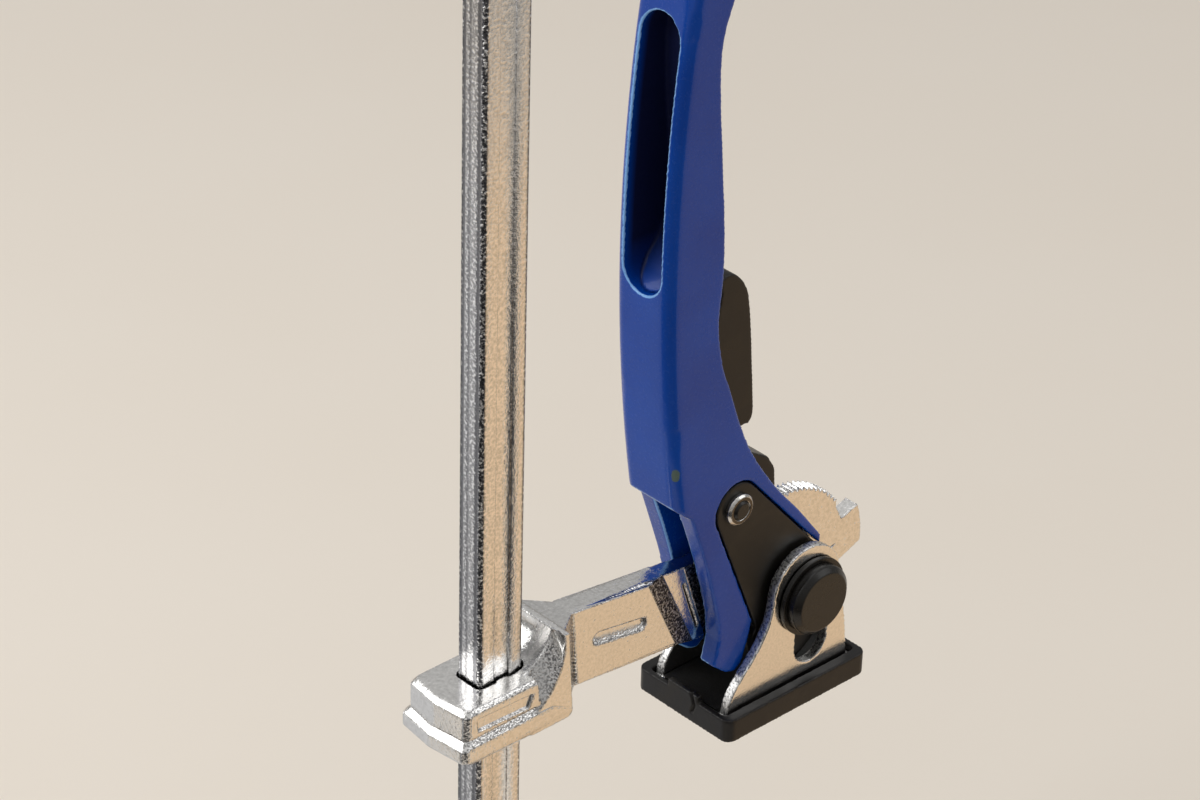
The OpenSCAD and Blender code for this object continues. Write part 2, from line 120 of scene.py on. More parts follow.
def between(tree, one, other):
    """Large where a surface faces between two axes, from how far it faces along each."""
    return worked(tree, "ABSOLUTE", worked(tree, "MULTIPLY", one, other))


def surface_effect(name, inputs, outputs):
    """An empty node group with named float or vector inputs and float outputs."""
    tree = bpy.data.node_groups.new(name, "ShaderNodeTree")
    for label, start in inputs.items():
        kind = "NodeSocketVector" if start is None else "NodeSocketFloat"
        made = tree.interface.new_socket(name=label, in_out="INPUT", socket_type=kind)
        if start is not None:
            made.default_value = start
    for label in outputs:
        tree.interface.new_socket(name=label, in_out="OUTPUT", socket_type="NodeSocketFloat")
    return tree, tree.nodes.new("NodeGroupInput").outputs, tree.nodes.new("NodeGroupOutput").inputs


def placed(tree, effect, **values):
    """A node group set into a material with its own values."""
    values = {label.replace("_", " "): value for label, value in values.items()}
    return socketed(tree, "Group", values, node_tree=effect).outputs


# fine grain of plated steel: speckle over slow clouds, for roughness and height
plating_grain, given, made = surface_effect(
    "plating_grain",
    {"Place": None, "Speckle Size": 1800.0, "Smooth": 0.12, "Dull": 0.3},
    ["Roughness", "Height", "Speckle"],
)
speckle = noise(plating_grain, given["Place"], given["Speckle Size"], 3.0, 0.6)
clouds = noise(plating_grain, given["Place"], 110.0, 3.0)
mixed = worked(plating_grain, "MULTIPLY", speckle, clouds)
rough = ramp(plating_grain, mixed, 0.12, 0.42, given["Smooth"], given["Dull"])
pits = ramp(plating_grain, speckle, 0.3, 0.7)
for label, value in (("Roughness", rough), ("Height", speckle), ("Speckle", pits)):
    plating_grain.links.new(value, made[label])


def finish_of(name, colour, **sockets):
    """A new material with its Principled BSDF, and object coordinates for its pattern."""
    material = bpy.data.materials.new(name)
    material.use_nodes = True
    tree = material.node_tree
    skin = tree.nodes["Principled BSDF"]
    skin.inputs["Base Color"].default_value = (*colour, 1)
    for key, value in sockets.items():
        skin.inputs[key.replace("_", " ")].default_value = value
    place = tree.nodes.new("ShaderNodeTexCoord").outputs["Object"]
    return material, tree, skin, place


def surfaced(tree, skin, tone, rough, height, strength, depth):
    """Gives a material its colour, its roughness and a relief of so much depth."""
    relief = socketed(tree, "Bump", {"Height": height, "Strength": strength, "Distance": depth})
    tree.links.new(tone, skin.inputs["Base Color"])
    tree.links.new(rough, skin.inputs["Roughness"])
    tree.links.new(relief.outputs[0], skin.inputs["Normal"])


rail_plating, tree, skin, place = finish_of("rail_plating", (0.77, 0.76, 0.74), Metallic=1.0)
facing = facing_of(tree)
parts = parts_of(tree, place)
grain = placed(tree, plating_grain, Place=place, Speckle_Size=1700.0, Smooth=0.08, Dull=0.2)
drawn = socketed(tree, "Mapping", {"Vector": place, "Scale": (1.0, 1.0, 0.05)}).outputs[0]
marks = noise(tree, drawn, 2300.0, 4.0, 0.65)
# the rounded corners are coarser than the faces and the groove
off_middle = worked(tree, "ABSOLUTE", worked(tree, "SUBTRACT", parts[0], rail_middle.x))
outermost = ramp(tree, off_middle, half_width - 2 * mm, half_width - 1.6 * mm)
corner = ramp(tree, between(tree, facing[0], facing[1]), 0.03, 0.3)
corner = worked(tree, "MULTIPLY", corner, outermost)
# dark lines run down each narrow face: fine drawing marks, with the dark streaks they reflect painted in
# as painted reflection
ragged = worked(tree, "MULTIPLY_ADD", grain["Height"], 0.9 * mm, -0.45 * mm)
ragged = worked(tree, "ADD", ragged, parts[1])
narrow = ramp(tree, worked(tree, "ABSOLUTE", facing[0]), 0.9, 0.98)


def dull_line(at, half_wide, depth):
    """Mask of a ragged line down the narrow faces."""
    off = worked(tree, "ABSOLUTE", worked(tree, "SUBTRACT", ragged, at))
    return worked(tree, "MULTIPLY", ramp(tree, off, half_wide, half_wide * 0.4, 0.0, depth), narrow)


drawing_lines_and_reflection = worked(tree, "ADD", dull_line(rail_high.y - 1.1 * mm, 0.5 * mm, 0.85),
               dull_line(0.5 * mm, 0.45 * mm, 0.6), clamp=True)
drawing_lines_and_reflection = worked(tree, "ADD", dull_line(rail_low.y + 1.3 * mm, 0.6 * mm, 0.9), drawing_lines_and_reflection, clamp=True)
coarse = worked(tree, "MULTIPLY_ADD", corner, 1.6, 0.7)
height = worked(tree, "MULTIPLY", grain["Height"], coarse)
height = worked(tree, "MULTIPLY_ADD", marks, 0.1, height)
shade = worked(tree, "MULTIPLY_ADD", marks, 0.35, grain["Speckle"])
tone = toned(tree, ramp(tree, shade, 0.3, 1.0), (0.66, 0.65, 0.64), (0.98, 0.97, 0.96))
flecks = ramp(tree, grain["Height"], 0.5, 0.6)
corner_tone = toned(tree, flecks, (0.10, 0.10, 0.11), (0.98, 0.97, 0.96))
patchy = worked(tree, "MULTIPLY_ADD", narrow, 0.5, corner, clamp=True)
tone = toned(tree, patchy, tone, corner_tone)
# the lines are painted near black: drawing marks and a painted reflection
tone = toned(tree, drawing_lines_and_reflection, tone, (0.14, 0.14, 0.15))
surfaced(tree, skin, tone, grain["Roughness"], height, 0.9, 0.13 * mm)


def round_edges(bm, edges, width, steps=3):
    """Rounds these edges of a bmesh by width."""
    bmesh.ops.bevel(bm, geom=edges, offset=width, offset_type="OFFSET", affect="EDGES", segments=steps,
                    profile=0.5, material=-1, clamp_overlap=True)


def sharp_edges(bm, degrees):
    """The edges of a bmesh where two faces meet at more than so many degrees."""
    return [e for e in bm.edges if len(e.link_faces) == 2 and e.calc_face_angle() > math.radians(degrees)]


def settled(bm, name, material, body, slot, *nodes):
    """The bmesh as a finished piece of the clamp: it rides on a body and stands for these CAD nodes."""
    bmesh.ops.recalc_face_normals(bm, faces=bm.faces)
    for face in bm.faces:
        face.smooth = True
    mesh = bpy.data.meshes.new(name)
    bm.to_mesh(mesh)
    bm.free()
    mesh.set_sharp_from_angle(angle=math.radians(40))
    piece = bpy.data.objects.new(name, mesh)
    bpy.context.scene.collection.objects.link(piece)
    mesh.materials.append(material)
    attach(piece, body)
    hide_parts(*nodes)


def upright_edges(bm):
    """The edges of the bar's mesh that run along the bar."""
    return [e for e in bm.edges if abs(e.verts[0].co.z - e.verts[1].co.z) > half_width]


def off_centre(edge):
    """How far an edge of the bar's mesh lies from the middle of the broad faces."""
    return abs(edge.verts[0].co.x - rail_middle.x)


# the bar: its grooved section, pulled up to its length, with every edge rounded
bm = bmesh.new()
corners = [(-half_width, -half_thick), (-groove_half, -half_thick),
           (-groove_half, -half_thick + groove_deep), (groove_half, -half_thick + groove_deep),
           (groove_half, -half_thick), (half_width, -half_thick)]
corners += [(x, -y) for x, y in reversed(corners)]
section = bm.faces.new([bm.verts.new((rail_middle.x + x, y, rail_low.z)) for x, y in corners])
pulled = bmesh.ops.extrude_face_region(bm, geom=[section])
top = [v for v in pulled["geom"] if isinstance(v, bmesh.types.BMVert)]
bmesh.ops.translate(bm, verts=top, vec=(0, 0, rail_high.z - rail_low.z))
round_edges(bm, [e for e in upright_edges(bm) if off_centre(e) > half_width - 0.1 * mm], corner_round, 6)
round_edges(bm, [e for e in upright_edges(bm) if abs(off_centre(e) - groove_half) < 0.01 * mm],
            groove_round, 2)
ends = [e for e in bm.edges if abs(e.verts[0].co.z - e.verts[1].co.z) < 1e-7 and e.calc_face_angle(0) > 1]
round_edges(bm, ends, end_round, 2)
settled(bm, "rail_bar", rail_plating, "frame", "rail_steel", "rail")

# ---------------------------------------------------------------- stop pin and jaw pins
# Spring pins of black steel, hollow and chamfered, driven through drilled holes.
# One keeps the arm from sliding off the top of the rail; two hold the fixed jaw on its foot.

pin_hollow_deep = 2.5 * mm
pin_chamfer, pin_chamfer_long, pin_round = 0.3 * mm, 0.4 * mm, 0.06 * mm

# dull wear and rubbed spots on dark steel and plastic
handled_skin, given, made = surface_effect(
    "handled_skin",
    {"Place": None, "Grain": 1500.0, "Smooth": 0.28, "Dull": 0.5},
    ["Roughness", "Height", "Rubbed"],
)
texture = noise(handled_skin, given["Place"], given["Grain"], 4.0, 0.6)
smears = noise(handled_skin, given["Place"], 160.0, 4.0, 0.6, 0.6)
rough = ramp(handled_skin, smears, 0.3, 0.7, given["Smooth"], given["Dull"])
rubbed = ramp(handled_skin, smears, 0.55, 0.75)
for label, value in (("Roughness", rough), ("Height", texture), ("Rubbed", rubbed)):
    handled_skin.links.new(value, made[label])

black_oxide, tree, skin, place = finish_of("black_oxide", (0.009, 0.008, 0.007),
                                           Specular_IOR_Level=0.42)
wear = placed(tree, handled_skin, Place=place, Grain=2600.0, Smooth=0.2, Dull=0.36)
tone = toned(tree, wear["Rubbed"], (0.007, 0.006, 0.005), (0.016, 0.012, 0.009))
surfaced(tree, skin, tone, wear["Roughness"], wear["Height"], 0.35, 0.02 * mm)


def turned(at, profile, closed=False, steps=96):
    """A bmesh turned about a line along Y through at = (x, z), from (radius, y) pairs. Each flat gets a
    ring close to both its ends, which keeps its shading flat."""
    bm = bmesh.new()
    held, near_end = [], 0.2 * mm
    ends = profile[1:] + ([profile[0]] if closed else [])
    for start, end in zip(profile, ends):
        a, b = Vector(start), Vector(end)
        held.append(start)
        if (b - a).length > 3 * near_end:
            step = (b - a).normalized() * near_end
            held += [tuple(a + step), tuple(b - step)]
    profile = held if closed else held + [profile[-1]]
    verts = [bm.verts.new((at[0] + radius, y, at[1])) for radius, y in profile]
    edges = [bm.edges.new(pair) for pair in zip(verts, verts[1:] + ([verts[0]] if closed else []))]
    bmesh.ops.spin(bm, geom=verts + edges, cent=(at[0], 0, at[1]), axis=(0, 1, 0), angle=math.tau,
                   steps=steps, use_merge=True)
    bmesh.ops.remove_doubles(bm, verts=bm.verts, dist=1e-7)
    return bm


def spring_pin(at, half, radius):
    """A hollow pin with chamfered ends, lying along Y through at = (x, z)."""
    inner = radius * 0.5
    profile = [(0, -half + pin_hollow_deep), (inner, -half + pin_hollow_deep), (inner, -half),
               (radius - pin_chamfer, -half), (radius, -half + pin_chamfer_long)]
    profile += [(r, -y) for r, y in reversed(profile)]
    bm = turned(at, profile, steps=48)
    round_edges(bm, sharp_edges(bm, 30), pin_round, 2)
    return bm


pin_low, pin_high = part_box("rail_stop_pin")
middle = (pin_low + pin_high) / 2
settled(spring_pin((middle.x, middle.z), pin_high.y, (pin_high.x - pin_low.x) / 2),
        "stop_pin", black_oxide, "frame", "black_steel", "rail_stop_pin")

pin_low, pin_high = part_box("fixed_jaw_pins")
radius = (pin_high.x - pin_low.x) / 2
bm = bmesh.new()
for height in (pin_low.z + radius, pin_high.z - radius):
    one = spring_pin(((pin_low.x + pin_high.x) / 2, height), pin_high.y, radius)
    joined = bpy.data.meshes.new("one_pin")
    one.to_mesh(joined)
    one.free()
    bm.from_mesh(joined)
    bpy.data.meshes.remove(joined)
settled(bm, "jaw_pins", black_oxide, "frame", "black_steel", "fixed_jaw_pins")

# ---------------------------------------------------------------- fixed jaw and sliding arm
# Both are drop forgings, ground flat on their broad sides and bright plated over a pitted skin.
# The arm ends in a flat tongue with ratchet teeth, and its falling bands are left as forged.

# the grid that rounds the edges is laid askew to the piece, so that no edge runs along it
askew = Matrix.Rotation(math.radians(27), 3, Vector((0.48, 0.62, 0.62)).normalized())


def with_modifier(piece, name, kind, **settings):
    """The mesh that an object has after one modifier, which is taken off again."""
    changed = piece.modifiers.new(name, kind)
    for key, value in settings.items():
        setattr(changed, key, value)
    bpy.context.view_layer.update()
    mesh = bpy.data.meshes.new_from_object(piece.evaluated_get(bpy.context.evaluated_depsgraph_get()))
    piece.modifiers.remove(changed)
    return mesh


def softened(node, name, voxel, passes, added=None, most_triangles=0):
    """A copy of a CAD node with the rounded edges of a casting; the attribute rim is near 1 on edges
    that stand out, and near -1 in corners. added(bm) may change the copy first."""
    bm = bmesh.new()
    bm.from_mesh(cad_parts[node].data)
    bmesh.ops.remove_doubles(bm, verts=bm.verts, dist=2e-6)
    if added:
        added(bm)
    block = bpy.data.meshes.new(name)
    bmesh.ops.rotate(bm, verts=bm.verts, cent=(0, 0, 0), matrix=askew)
    bm.to_mesh(block)
    bm.free()
    piece = bpy.data.objects.new(name, block)
    bpy.context.scene.collection.objects.link(piece)
    fine = with_modifier(piece, "grid", "REMESH", mode="VOXEL", voxel_size=voxel)
    bm = bmesh.new()
    bm.from_mesh(fine)
    before = [v.co.copy() for v in bm.verts]
    for _ in range(passes):
        bmesh.ops.smooth_vert(bm, verts=bm.verts, factor=0.5, use_axis_x=True, use_axis_y=True,
                              use_axis_z=True)
    bm.normal_update()
    rim = bm.verts.layers.float.new("rim")
    for vert, old in zip(bm.verts, before):
        vert[rim] = max(-1.0, min(1.0, (old - vert.co).dot(vert.normal) / (0.45 * voxel)))
    if most_triangles and 2 * len(bm.faces) > most_triangles:
        bm.to_mesh(fine)
        bm.free()
        piece.data = fine
        triangles = sum(len(f.vertices) - 2 for f in fine.polygons)
        less = with_modifier(piece, "fewer", "DECIMATE", ratio=most_triangles / triangles)
        bm = bmesh.new()
        bm.from_mesh(less)
        bpy.data.meshes.remove(less)
    bpy.data.objects.remove(piece)
    bmesh.ops.rotate(bm, verts=bm.verts, cent=(0, 0, 0), matrix=askew.inverted())
    bm.normal_update()
    return bm


# edges that stand out, where plating or paint is rubbed or chipped and where some finishes get a painted
# highlight, and the hollows between them, which get painted shade
edge_wear_sheen_and_shade, given, made = surface_effect(
    "edge_wear_sheen_and_shade",
    {"Place": None, "Rim": 0.0, "Flake Size": 900.0, "From": 0.25, "To": 0.7},
    ["Mask", "Corner"],
)
flakes = noise(edge_wear_sheen_and_shade, given["Place"], given["Flake Size"], 4.0, 0.7)
level = worked(edge_wear_sheen_and_shade, "ADD", given["Rim"], ramp(edge_wear_sheen_and_shade, flakes, 0.3, 0.7, -0.3, 0.3))
mask = ramp(edge_wear_sheen_and_shade, level, given["From"], given["To"])
# Corner is a mask of the hollows, which the materials paint darker as painted shade
hollow = ramp(edge_wear_sheen_and_shade, given["Rim"], -0.1, -0.6)
for label, value in (("Mask", mask), ("Corner", hollow)):
    edge_wear_sheen_and_shade.links.new(value, made[label])


def rim_of(tree):
    """The rim attribute of a softened piece."""
    return socketed(tree, "Attribute", attribute_name="rim").outputs["Fac"]


forging_plate, tree, skin, place = finish_of("forging_plate", (0.77, 0.76, 0.74), Metallic=1.0)
grain = placed(tree, plating_grain, Place=place, Speckle_Size=1500.0, Smooth=0.09, Dull=0.24)
edges = placed(tree, edge_wear_sheen_and_shade, Place=place, Rim=rim_of(tree), Flake_Size=1500.0, From=0.2, To=0.55)
parts = parts_of(tree, place)
facing = facing_of(tree)
sideways = ramp(tree, worked(tree, "ABSOLUTE", facing[1]), 0.35, 0.7)
# as-forged bands on the sides of the arm's beam, between slanting lines in the side view: each line's
# place is its X at the beam's middle height
beam_height, band_blur = 77.3 * mm, 0.15 * mm


def slanting_band(slope, low, high):
    """Mask of a band of the side view whose edges lean by slope."""
    lean = worked(tree, "MULTIPLY_ADD", parts[2], slope, -slope * beam_height)
    along = worked(tree, "ADD", parts[0], lean)
    rise = ramp(tree, along, low - band_blur, low + band_blur)
    fall = ramp(tree, along, high + band_blur, high - band_blur)
    return worked(tree, "MULTIPLY", rise, fall)


bands = worked(tree, "ADD", slanting_band(0.465, -26.6 * mm, -22.4 * mm),
               slanting_band(0.34, -18.2 * mm, -14.9 * mm), clamp=True)
bands = worked(tree, "MULTIPLY", bands, sideways)
sparkle = noise(tree, place, 2600.0)
scale_tone = toned(tree, ramp(tree, sparkle, 0.48, 0.66), (0.028, 0.028, 0.032), (0.7, 0.69, 0.68))
plate_tone = toned(tree, grain["Speckle"], (0.74, 0.73, 0.71), (0.97, 0.96, 0.94))
# grit on the rounded edges, on the upright corners and on the chamfers
upright = ramp(tree, between(tree, facing[0], facing[1]), 0.25, 0.42, 0.0, 0.85)
slanting = ramp(tree, between(tree, facing[1], facing[2]), 0.2, 0.4, 0.0, 0.55)
coarse = worked(tree, "MAXIMUM", edges["Mask"], worked(tree, "MAXIMUM", upright, slanting))
grit_tone = toned(tree, ramp(tree, sparkle, 0.4, 0.52), (0.10, 0.10, 0.11), (0.95, 0.94, 0.93))
edge_tone = toned(tree, coarse, plate_tone, grit_tone)
# the hollows are painted darker as painted shade
hollow_tone = toned(tree, edges["Corner"], edge_tone, (0.05, 0.05, 0.055))
# a thin dark line in the flat strip between the bands: the shadow in a slit there, painted in
slit_middle, slit_half = 75.75 * mm, 5.3 * mm
in_height = worked(tree, "ABSOLUTE", worked(tree, "ADD", parts[2], -slit_middle))
in_height = ramp(tree, in_height, slit_half + 0.3 * mm, slit_half)
painted_slit_shadow = worked(tree, "MULTIPLY", slanting_band(0.358, -19.55 * mm, -19.1 * mm), sideways)
painted_slit_shadow = worked(tree, "MULTIPLY", painted_slit_shadow, in_height)
hollow_tone = toned(tree, painted_slit_shadow, hollow_tone, (0.02, 0.02, 0.022))
full_tone = toned(tree, bands, hollow_tone, scale_tone)
rough = worked(tree, "MULTIPLY_ADD", edges["Mask"], 0.14, grain["Roughness"])
rough = worked(tree, "MULTIPLY_ADD", bands, 0.2, rough)
height = worked(tree, "MULTIPLY", grain["Height"], 0.6)
height = worked(tree, "MULTIPLY_ADD", worked(tree, "MULTIPLY", coarse, sparkle), 2.4, height)
height = worked(tree, "MULTIPLY_ADD", worked(tree, "MULTIPLY", bands, sparkle), 2.2, height)
surfaced(tree, skin, full_tone, rough, height, 0.8, 0.09 * mm)

jaw_shape = softened("fixed_jaw", "fixed_arm", 0.25 * mm, 4, most_triangles=150000)
settled(jaw_shape, "fixed_arm", forging_plate, "frame", "forging", "fixed_jaw")


def off_line(point, start, end):
    """Distance of a point from the straight line between two others."""
    line = end - start
    along = min(1, max(0, (point - start).dot(line) / line.length_squared))
    return (point - start - line * along).length


# the long recess in each side of the panel has a sloping lower wall
recess_from, recess_to = Vector((-41.9 * mm, 79.3 * mm)), Vector((-31.7 * mm, 77.7 * mm))
recess_half, recess_deep, recess_slope = 1.35 * mm, 0.8 * mm, 1.3 * mm
panel_half, lip_width = 2.7 * mm, 0.3 * mm
along = (recess_to - recess_from).normalized()
upwards = Vector((-along.y, along.x))
arm_shape = softened("sliding_arm", "toothed_arm", 0.19 * mm, 3, most_triangles=195000)
for vert in arm_shape.verts:
    at = Vector((vert.co.x, vert.co.z))
    reach = off_line(at, recess_from, recess_to)
    if reach < recess_half and abs(vert.co.y) > panel_half - recess_deep - lip_width:
        lip = min(1, (recess_half - reach) / lip_width)
        slope = min(1, max(0, ((at - recess_from).dot(upwards) + recess_half) / recess_slope))
        vert.co.y = math.copysign(panel_half - recess_deep * min(lip, slope), vert.co.y)
settled(arm_shape, "toothed_arm", forging_plate, "arm", "forging", "sliding_arm")

# ---------------------------------------------------------------- pads
# Moulded black plastic caps that clip over the steel soles, one on each jaw.
# Their skin is finely textured from the mould, and a little shinier where it is rubbed.

split_line = [Vector((y * mm, rise * mm))
              for y, rise in ((-1.9, 0.3), (-2.7, -0.9), (-3.1, -2.2), (-2.5, -3.9))]
split_deep, split_half = 0.6 * mm, 0.4 * mm
tab_thick = 1.0 * mm


def dark_finish(name, gloss, wear_look, edge_look, tones, strength, depth):
    """Dark steel or plastic with rubbed spots; tones are its own, the rubbed one and the edges' one, which
    is lighter for rubbed edges and a painted highlight.
    """
    material, tree, skin, place = finish_of(name, tones[0], Specular_IOR_Level=gloss)
    wear = placed(tree, handled_skin, Place=place, **wear_look)
    edges = placed(tree, edge_wear_sheen_and_shade, Place=place, Rim=rim_of(tree), **edge_look)
    tone = toned(tree, wear["Rubbed"], tones[0], tones[1])
    # the edges that stand out get the lighter tone: rubbed, and a painted highlight
    tone = toned(tree, edges["Mask"], tone, tones[2])
    surfaced(tree, skin, tone, wear["Roughness"], wear["Height"], strength, depth)
    return material


pad_plastic = dark_finish("pad_plastic", 0.36, {"Grain": 1900.0, "Smooth": 0.3, "Dull": 0.5},
                          {"Flake_Size": 700.0, "From": 0.3, "To": 0.9},
                          ((0.007, 0.006, 0.006), (0.017, 0.014, 0.011), (0.045, 0.039, 0.034)),
                          0.5, 0.04 * mm)


def clip_mark(bm, node, up):
    """A curved split in the tab at the rail end of a pad, left by the mould's slide."""
    low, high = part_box(node)
    tab_top = high.z if up > 0 else low.z
    for vert in bm.verts:
        if vert.co.x <= low.x + tab_thick:
            at = Vector((vert.co.y, (vert.co.z - tab_top) * up))
            reach = min(off_line(at, start, end) for start, end in zip(split_line, split_line[1:]))
            vert.co.x += split_deep * max(0, 1 - reach / split_half)
    return bm


for name, node, body, up in (("lower_pad", "fixed_jaw_pad", "frame", -1),
                             ("upper_pad", "foot_pad", "foot", 1)):
    settled(clip_mark(softened(node, name, 0.24 * mm, 3), node, up),
            name, pad_plastic, body, "black_plastic", node)

# ---------------------------------------------------------------- foot
# A strip of plated steel bent into a U, with a slot in each ear for the pivot pin.
# A blackened plate lies on its sole, where the cams press.

strap_plate, tree, skin, place = finish_of("strap_plate", (0.78, 0.77, 0.75), Metallic=1.0)
grain = placed(tree, plating_grain, Place=place, Speckle_Size=2000.0, Smooth=0.1, Dull=0.26)
edges = placed(tree, edge_wear_sheen_and_shade, Place=place, Rim=rim_of(tree), Flake_Size=1600.0, From=0.2, To=0.6)
# the sheared edge of the strip is coarser than its faces
sheared = ramp(tree, worked(tree, "ABSOLUTE", facing_of(tree)[1]), 0.9, 0.6)
torn = noise(tree, place, 2200.0)
grit_tone = toned(tree, ramp(tree, torn, 0.4, 0.5), (0.12, 0.12, 0.13), (0.9, 0.89, 0.87))
plate_tone = toned(tree, grain["Speckle"], (0.76, 0.75, 0.73), (0.95, 0.94, 0.92))
gritty = worked(tree, "MAXIMUM", worked(tree, "MULTIPLY", sheared, 0.75), edges["Mask"])
tone = toned(tree, gritty, plate_tone, grit_tone)
rough = worked(tree, "MULTIPLY_ADD", sheared, 0.22, grain["Roughness"])
height = worked(tree, "MULTIPLY_ADD", worked(tree, "MULTIPLY", sheared, torn), 2.0, grain["Height"])
surfaced(tree, skin, tone, rough, height, 0.5, 0.05 * mm)

settled(softened("foot_bracket", "foot_strap", 0.25 * mm, 2), "foot_strap", strap_plate,
        "foot", "strap_steel", "foot_bracket")

sole_black, tree, skin, place = finish_of("sole_black", (0.008, 0.008, 0.008), Specular_IOR_Level=0.3)
wear = placed(tree, handled_skin, Place=place, Grain=1300.0, Smooth=0.42, Dull=0.62)
tone = toned(tree, wear["Height"], (0.004, 0.004, 0.004), (0.014, 0.013, 0.012))
surfaced(tree, skin, tone, wear["Roughness"], wear["Height"], 0.9, 0.12 * mm)
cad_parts["thrust_plate"].data.materials[0] = sole_black

# ---------------------------------------------------------------- pivot pin, cap and washers
# A turned and blackened steel pin through the arm, the lever and both ears.
# Its near head is turned in one with it; a cap is pressed on the far end, over loose washers.

shank_low, shank_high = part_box("pivot_pin")
cap_low, cap_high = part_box("pivot_pin_cap")
pivot = ((cap_low.x + cap_high.x) / 2, (cap_low.z + cap_high.z) / 2)
head_r, shank_r, washer_bore = (cap_high.x - cap_low.x) / 2, 3.0 * mm, 3.05 * mm
# the cap carries on as a stub in the shank's place, to just inside the arm
stub_end = -shank_low.y * 0.2
head_round, washer_round = 0.12 * mm, 0.18 * mm


def domed_head(side, shank_end):
    """A chamfered head and its shank, which ends at the Y shank_end."""
    face = side * cap_high.y
    step = -side * mm
    bm = turned(pivot, [(0, face), (head_r - 1.15 * mm, face), (head_r - 1.0 * mm, face + 0.06 * step),
                        (head_r - 0.12 * mm, face + 0.82 * step), (head_r, face + 1.05 * step),
                        (head_r, side * cap_low.y), (shank_r, side * cap_low.y),
                        (shank_r, shank_end), (0, shank_end)], steps=128)
    round_edges(bm, sharp_edges(bm, 35), head_round, 2)
    return bm


settled(domed_head(-1, cap_low.y), "pin_head", black_oxide, "arm", "black_steel", "pivot_pin")
settled(domed_head(1, stub_end), "pin_cap", black_oxide, "arm", "black_steel", "pivot_pin_cap")

for side, node, name in ((-1, "pin_washer_near", "washer_near"), (1, "pin_washer_far", "washer_far")):
    low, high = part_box(node)
    outer_r = (high.x - low.x) / 2
    inside, outside = (high.y, low.y) if side < 0 else (low.y, high.y)
    bm = turned(pivot, [(washer_bore, inside), (outer_r, inside), (outer_r, outside),
                        (washer_bore, outside)], closed=True, steps=128)
    round_edges(bm, sharp_edges(bm, 35), washer_round, 3)
    settled(bm, name, black_oxide, "swivel", "black_steel", node)

# ---------------------------------------------------------------- lever
# Cast in one piece: a grip with a long pocket, a channel behind it, and two forked cheeks.
# It is painted a glossy blue over the casting's slight waviness, with small pits here and there.

# a small bare oval on the near edge of the front, where the lever hung while it was painted
bare_at = (-28.1 * mm, -6.2 * mm, 109.2 * mm)
bare_size = (1.1 * mm, 0.62 * mm, 1.5 * mm)
# the front of the grip is an arc in the side view, and the pocket is painted darker, as painted shade, as
# it sinks below that arc
arc_middle = (287.6 * mm, 0, 152.5 * mm)
sunk_from, sunk_to = 318.9 * mm, 317.3 * mm
pocket_half = 5.1 * mm
scoop_low, scoop_high = 143.5 * mm, 152.0 * mm
pocket_top = 198.0 * mm


def distance(tree, place, middle, stretch):
    """Distance of the surface from a point, with each axis multiplied by stretch first."""
    off = socketed(tree, "VectorMath", {0: place, 1: middle}, operation="SUBTRACT").outputs[0]
    off = socketed(tree, "VectorMath", {0: off, 1: stretch}, operation="MULTIPLY").outputs[0]
    return socketed(tree, "VectorMath", {0: off}, operation="LENGTH").outputs["Value"]


lever_paint, tree, skin, place = finish_of("lever_paint", (0.004, 0.045, 0.29), Coat_Roughness=0.1,
                                           Coat_IOR=1.5, Specular_IOR_Level=0.2)
rim = rim_of(tree)
edges = placed(tree, edge_wear_sheen_and_shade, Place=place, Rim=rim, Flake_Size=300.0, From=0.55, To=1.2)
peel = noise(tree, place, 260.0, 2.0, 0.4)
fine = noise(tree, place, 1500.0, 3.0, 0.55)
chance = noise(tree, place, 55.0)
cells = socketed(tree, "TexVoronoi", {"Vector": place, "Scale": 420.0}).outputs["Distance"]
pitted = worked(tree, "MULTIPLY", ramp(tree, cells, 0.12, 0.2, 1.0, 0.0), ramp(tree, chance, 0.69, 0.73))
reach = distance(tree, place, bare_at, [1 / size for size in bare_size])
bare = ramp(tree, worked(tree, "MULTIPLY_ADD", fine, 0.6, reach), 1.3, 1.15)
height = worked(tree, "MULTIPLY_ADD", fine, 0.03, peel)
height = worked(tree, "MULTIPLY_ADD", pitted, -0.3, height)
height = worked(tree, "MULTIPLY_ADD", bare, -0.4, height)
tone = toned(tree, ramp(tree, chance, 0.35, 0.65), (0.001, 0.043, 0.30), (0.001, 0.054, 0.35))
# the edges that stand out are painted a lighter blue as a painted highlight, and the hollows a deeper blue
# as painted shade
tone = toned(tree, edges["Mask"], tone, (0.008, 0.07, 0.38))
tone = toned(tree, edges["Corner"], tone, (0.002, 0.014, 0.11))
# the pocket's rim is painted a pale blue as a painted highlight, and its floor is painted near black as
# painted shade, where hardly any light gets down
parts = parts_of(tree, place)
aside = worked(tree, "ABSOLUTE", parts[1])
away = distance(tree, place, arc_middle, (1, 0, 1))
painted_pocket_shade = worked(tree, "MULTIPLY", ramp(tree, away, sunk_from, sunk_to),
             ramp(tree, aside, pocket_half + 0.3 * mm, pocket_half))
painted_pocket_shade = worked(tree, "MULTIPLY", painted_pocket_shade, ramp(tree, parts[2], scoop_low, scoop_high))
painted_pocket_shade = worked(tree, "MULTIPLY", painted_pocket_shade, ramp(tree, parts[2], pocket_top + 2 * mm, pocket_top))
painted_rim_highlight = worked(tree, "MULTIPLY", ramp(tree, rim, 0.25, 0.6),
              ramp(tree, aside, pocket_half + 0.5 * mm, pocket_half + 0.1 * mm))
tone = toned(tree, painted_rim_highlight, tone, (0.2, 0.42, 0.8))
tone = toned(tree, painted_pocket_shade, tone, (0.003, 0.007, 0.05))
tone = toned(tree, bare, tone, (0.09, 0.13, 0.115))
coat = ramp(tree, worked(tree, "MAXIMUM", bare, painted_pocket_shade), 0.0, 1.0, 0.3, 0.0)
